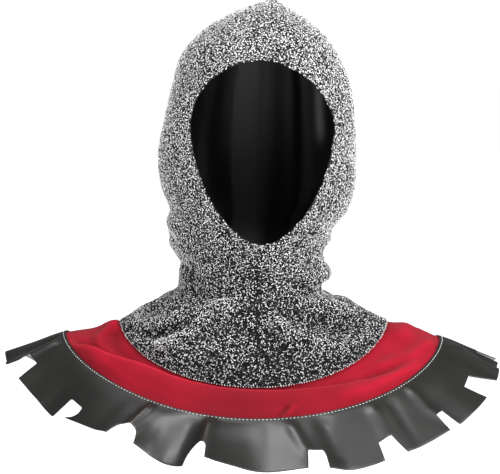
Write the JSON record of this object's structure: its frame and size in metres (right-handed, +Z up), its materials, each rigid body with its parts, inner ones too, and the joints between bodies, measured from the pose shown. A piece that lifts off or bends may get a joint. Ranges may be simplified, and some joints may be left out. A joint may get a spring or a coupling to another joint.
{
  "type": "knight's hood with dagged mantle",
  "caption": "Close-fitting glitter-knit coif with an egg-shaped face opening, sewn to a round red mantle edged with a dagged dark grey strip.",
  "frame": {"origin": "inside the crown, at the point of the lining that rests on top of the wearer's head", "axes": "+Z up, the face opening looks towards -Y, and +X points to the wearer's left shoulder"},
  "size_m": [0.498, 0.4072, 0.4421],
  "materials": {
    "glitter_knit": "black and silver glitter knit",
    "black_jersey": "smooth black jersey with a soft sheen",
    "red_satin": "red satin weave",
    "grey_leather": "dark grey glossy imitation leather"
  },
  "bodies": {
    "root": {"knit_panel_right": "glitter_knit", "knit_panel_left": "glitter_knit", "hood_lining": "black_jersey", "red_mantle": "red_satin", "dagged_trim": "grey_leather"}
  },
  "joints": []
}
